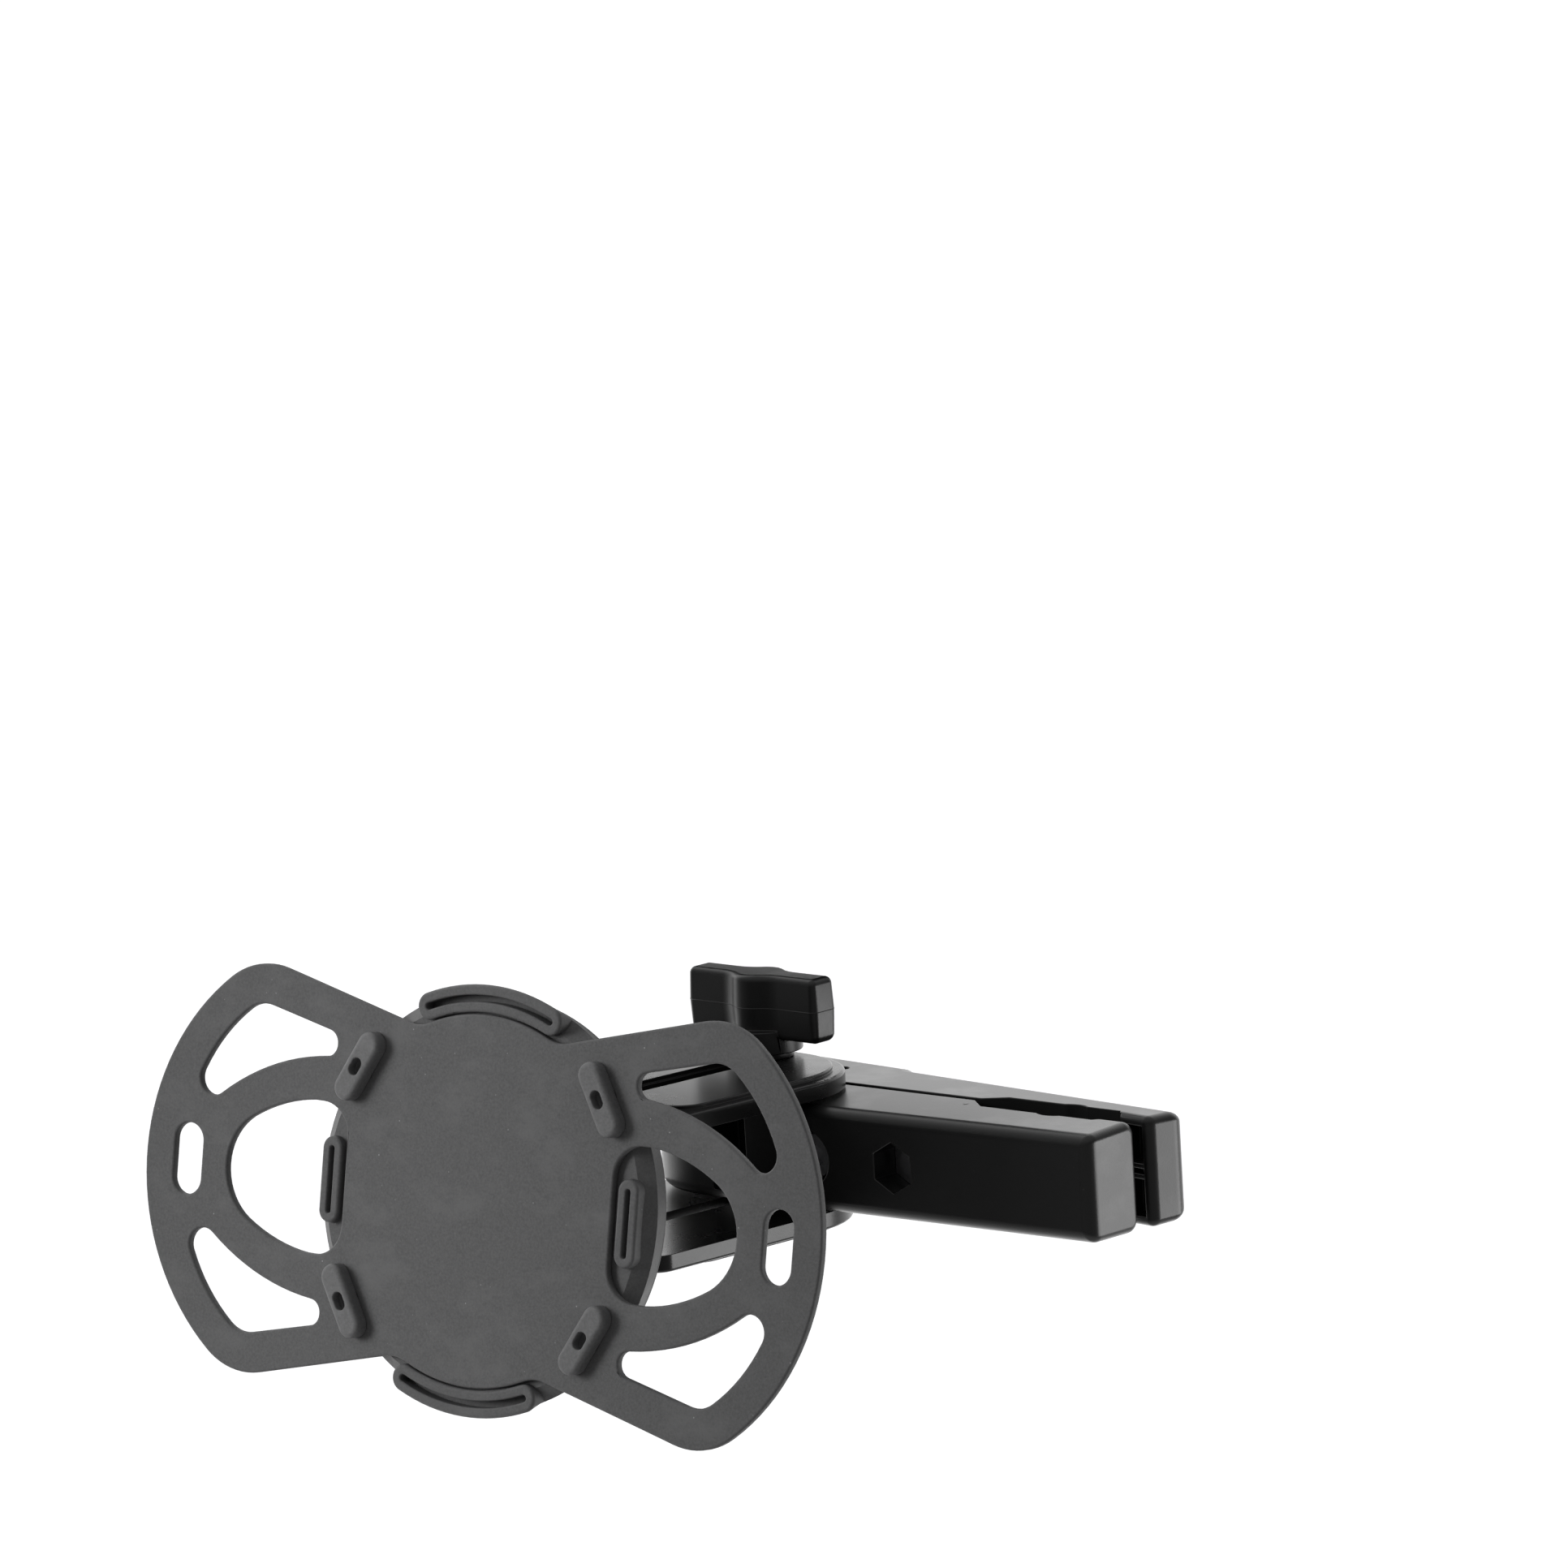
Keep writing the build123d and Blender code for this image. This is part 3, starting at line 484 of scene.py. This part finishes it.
def longer_tail(work):
    """Lengthen the outer end of the rear jaw at its back and bring its lip nearer to the front."""
    tail = [vert for vert in work.verts if vert.co.x > TAIL_START * MM]
    end = max(vert.co.x for vert in tail)
    near = min(vert.co.y for vert in tail)
    far = max(vert.co.y for vert in tail)
    for vert in tail:
        share = (vert.co.x - TAIL_START * MM) / (end - TAIL_START * MM)
        back = (vert.co.y - near) / (far - near)
        vert.co.x += TAIL_LONGER * MM * share * back
        vert.co.y -= TAIL_NEARER * MM * share * (1 - back)


RESHAPED = {"holder_disc": shaped_disc, "rear_jaw": longer_tail}


def mark_sharp_edges(work, node):
    """Mark the sharp edges of a moulding for rounding: on the disc those at its front, the rest stay crisp."""
    middle, ahead = holder_axis()
    layer = work.edges.layers.float.new("bevel_weight_edge")
    for edge in work.edges:
        sharp = edge.is_manifold and edge.calc_face_angle() > radians(SHARP_ANGLE)
        depth = max(-(vert.co - middle).dot(ahead) for vert in edge.verts)
        if sharp and (node != "holder_disc" or depth < EDGE_NEAR * MM):
            edge[layer] = 1.0
        elif node == "holder_disc" and edge.is_manifold:
            edge.smooth = edge.calc_face_angle() < radians(DISC_SHARP)


def rounded_moulding(node, radius):
    """Moulded piece in place of a node, with its sharp edges rounded."""
    work = welded_copy(node)
    if node in RESHAPED:
        RESHAPED[node](work)
    bmesh.ops.dissolve_limit(work, angle_limit=radians(FLAT_ANGLE), verts=work.verts, edges=work.edges)
    for face in work.faces:
        face.smooth = True
    mark_sharp_edges(work, node)
    piece = new_piece(node + "_moulding", work)
    rounding = piece.modifiers.new("Rounded edges", "BEVEL")
    rounding.limit_method = "WEIGHT"
    rounding.width = radius * MM
    rounding.segments = EDGE_STEPS
    rounding.use_clamp_overlap = False
    even_normals(piece)
    fit_to(piece, node)
    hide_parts(node)
    return piece


def bow_wings(piece):
    """Bend the two wings of the sheet slightly forward, more toward their tips."""
    middle, ahead = holder_axis()
    piece.modifiers.remove(piece.modifiers["Even normals"])
    rounded = piece.evaluated_get(bpy.context.evaluated_depsgraph_get())
    work = bmesh.new()
    work.from_mesh(rounded.to_mesh())
    piece.modifiers.clear()
    bmesh.ops.triangulate(work, faces=[face for face in work.faces if len(face.verts) > 4])
    reach = BOW_START
    while reach < BOW_END:
        for side in (-1, 1):
            spot = middle + SHEET_LONG * side * reach * MM
            geometry = work.verts[:] + work.edges[:] + work.faces[:]
            bmesh.ops.bisect_plane(work, geom=geometry, plane_co=spot, plane_no=SHEET_LONG)
        reach += BOW_STEP
    for face in work.faces:
        face.smooth = abs(face.normal.dot(ahead)) < FLAT_SHARE
    for vert in work.verts:
        along = abs((vert.co - middle).dot(SHEET_LONG)) / MM
        share = max(0.0, along - BOW_START) / (BOW_END - BOW_START)
        vert.co += ahead * BOW_RISE * MM * share ** 2
    work.to_mesh(piece.data)
    work.free()


def disc_back():
    """Flat back of the disc round its hub, turned from its profile."""
    middle, ahead = holder_axis()
    work = bmesh.new()
    profile = [work.verts.new(middle + (SHEET_LONG * radius - ahead * depth) * MM)
               for radius, depth in BACK_PROFILE]
    edges = [work.edges.new((profile[step - 1], profile[step])) for step in range(len(profile))]
    bmesh.ops.spin(work, geom=profile + edges, cent=middle, axis=ahead,
                   angle=radians(360), steps=BACK_STEPS)
    bmesh.ops.remove_doubles(work, verts=work.verts, dist=WELD)
    bmesh.ops.recalc_face_normals(work, faces=work.faces)
    for face in work.faces:
        face.smooth = True
    for edge in work.edges:
        edge.smooth = edge.calc_face_angle() < radians(SHARP_ANGLE)
    back = new_piece("disc_back", work)
    even_normals(back)
    fit_to(back, "holder_disc")


def parting_ridge():
    """Thin ridge round the knob where the halves of its mould met."""
    knob = welded_copy("pivot_knob")
    level = PARTING_Z * MM
    seam = [edge for edge in knob.edges if all(abs(vert.co.z - level) < WELD for vert in edge.verts)]
    rise = Vector((0.0, 0.0, PARTING_W / 2 * MM))
    work = bmesh.new()
    ring = {}
    for vert in dict.fromkeys(vert for edge in seam for vert in edge.verts):
        out = Vector((vert.normal.x, vert.normal.y, 0.0)).normalized()
        root = vert.co - out * PARTING_ROOT * MM
        spots = (vert.co + out * PARTING_RISE * MM, root + rise, root - rise)
        ring[vert] = [work.verts.new(spot) for spot in spots]
    for edge in seam:
        one, two = (ring[vert] for vert in edge.verts)
        for step, after in ((0, 1), (1, 2), (2, 0)):
            work.faces.new((one[step], one[after], two[after], two[step]))
    bmesh.ops.recalc_face_normals(work, faces=work.faces)
    knob.free()
    fit_to(new_piece("knob_parting_ridge", work), "pivot_knob")


def gate_mark():
    """Small flat nub on the bar's top where the plastic entered the mould."""
    work = bmesh.new()
    bmesh.ops.create_cone(work, cap_ends=True, segments=GATE_SIDES, radius1=GATE_R * MM,
                          radius2=GATE_R * MM * GATE_TAPER, depth=GATE_H * MM)
    bmesh.ops.translate(work, verts=work.verts, vec=GATE_SPOT * MM)
    fit_to(new_piece("gate_mark", work), "front_jaw")


mouldings = {node: rounded_moulding(node, radius) for node, radius in EDGE_ROUNDS.items()}
bow_wings(mouldings["rubber_sheet"])
disc_back()
parting_ridge()
gate_mark()
for node, solid in frame["nodes"].items():
    solid.data.materials.clear()
    solid.data.materials.append(FINISHES[slot_of(node)])


# Studio
def studio_matt(name, tones, scale):
    """Matt finish in two tones for the studio's own things."""
    material, tree, shader = new_finish(name)
    dark, light = tones
    clouds = add_node(tree, "ShaderNodeTexNoise", [("Scale", scale)])
    feed(tree, shader.inputs["Base Color"], colour_mix(tree, clouds.outputs["Fac"], grey(dark), grey(light)))
    shader.inputs["Roughness"].default_value = STUDIO_ROUGH
    return material


def studio_floor():
    """Wide pale floor far below the mount."""
    work = bmesh.new()
    bmesh.ops.create_circle(work, cap_ends=True, segments=FLOOR_SIDES, radius=FLOOR_R)
    floor = new_piece("studio_floor", work)
    floor.location = (0, 0, FLOOR_Z)
    floor.visible_glossy = False
    floor.visible_diffuse = False
    material = studio_matt("Floor white", FLOOR_TONES, FLOOR_CLOUDS)
    shader = material.node_tree.nodes["Principled BSDF"]
    shader.inputs["Specular IOR Level"].default_value = 0.0
    shader.inputs["Emission Color"].default_value = grey(1.0)
    shader.inputs["Emission Strength"].default_value = FLOOR_GLOW
    floor.data.materials.append(material)


def air_side(tree, toward, grows, low, high):
    """Room light that grows along one direction, between two places on it."""
    level = value_range(tree, toward, low, high)
    level.node.interpolation_type = "SMOOTHSTEP"
    level.node.inputs["From Min"].default_value = grows[0]
    level.node.inputs["From Max"].default_value = grows[1]
    return level


def studio_air():
    """Light from the whole room: bright behind, above and below, dim in front, and plain white to look at."""
    world = bpy.data.worlds.new("Studio air")
    bpy.context.scene.world = world
    world.use_nodes = True
    tree = world.node_tree
    back = tree.nodes["Background"]
    place = tree.nodes.new("ShaderNodeTexCoord").outputs["Generated"]
    height = add_node(tree, "ShaderNodeSeparateXYZ", [("Vector", place)]).outputs["Z"]
    toward = add_node(tree, "ShaderNodeVectorMath", [(0, place), (1, AIR_SIDE)], operation="DOT_PRODUCT")
    behind = air_side(tree, toward.outputs["Value"], SIDE_GROWS, AIR_FRONT, AIR_BEHIND)
    above = air_side(tree, height, HEIGHT_GROWS, 0.0, AIR_ABOVE)
    below = air_side(tree, height, [-start for start in HEIGHT_GROWS], 0.0, AIR_BELOW)
    ends = add_node(tree, "ShaderNodeMath", [(0, above), (1, below)], operation="ADD")
    level = add_node(tree, "ShaderNodeMath", [(0, behind), (1, ends.outputs[0])], operation="ADD")
    seen = tree.nodes.new("ShaderNodeLightPath")
    pale = add_node(tree, "ShaderNodeMix", [
        (MIX_FACTOR, seen.outputs["Is Camera Ray"]), (MIX_LOW, level.outputs[0]), (MIX_HIGH, AIR_SEEN)])
    feed(tree, back.inputs["Strength"], pale.outputs[MIX_VALUE])
    back.inputs["Color"].default_value = (1.0, 1.0, 1.0, 1.0)


def dark_flag():
    """Black card behind and above the mount that keeps the room light off the upper faces."""
    work = bmesh.new()
    corners = [(x, FLAG_Y, z) for x, z in ((FLAG_LEFT, FLAG_LOW), (FLAG_RIGHT, FLAG_LOW),
                                           (FLAG_RIGHT, FLAG_HIGH), (FLAG_LEFT, FLAG_HIGH))]
    work.faces.new([work.verts.new(corner) for corner in corners])
    flag = new_piece("dark_flag", work)
    flag.visible_camera = False
    flag.data.materials.append(studio_matt("Flag black", FLAG_TONES, FLAG_THREADS))


def softbox(name, place, aim, width, height, power, spread, mirrored):
    """Large soft lamp pointed at a spot: the angle that its light fills, and whether gloss shows it."""
    lamp = bpy.data.lights.new(name, "AREA")
    lamp.shape = "RECTANGLE"
    lamp.size = width
    lamp.size_y = height
    lamp.energy = power
    lamp.spread = radians(spread)
    holder = bpy.data.objects.new(name, lamp)
    holder.location = place
    holder.rotation_euler = (Vector(aim) - Vector(place)).to_track_quat("-Z", "Y").to_euler()
    holder.visible_camera = False
    holder.visible_glossy = mirrored
    bpy.context.scene.collection.objects.link(holder)


def photo_camera():
    """Camera at the photograph's viewing angle."""
    data = bpy.data.cameras.new("photo_camera")
    data.lens = LENS
    data.sensor_width = PICTURE_W
    camera = bpy.data.objects.new("photo_camera", data)
    level = (AIM - EYE).to_track_quat("-Z", "Y")
    camera.rotation_mode = "QUATERNION"
    camera.rotation_quaternion = level @ Quaternion((0, 0, 1), radians(-LEAN))
    camera.location = EYE
    bpy.context.scene.collection.objects.link(camera)
    bpy.context.scene.camera = camera


studio_floor()
studio_air()
dark_flag()
for name, setting in LAMPS.items():
    softbox(name, *setting)
photo_camera()
bpy.context.scene.view_settings.view_transform = "Standard"
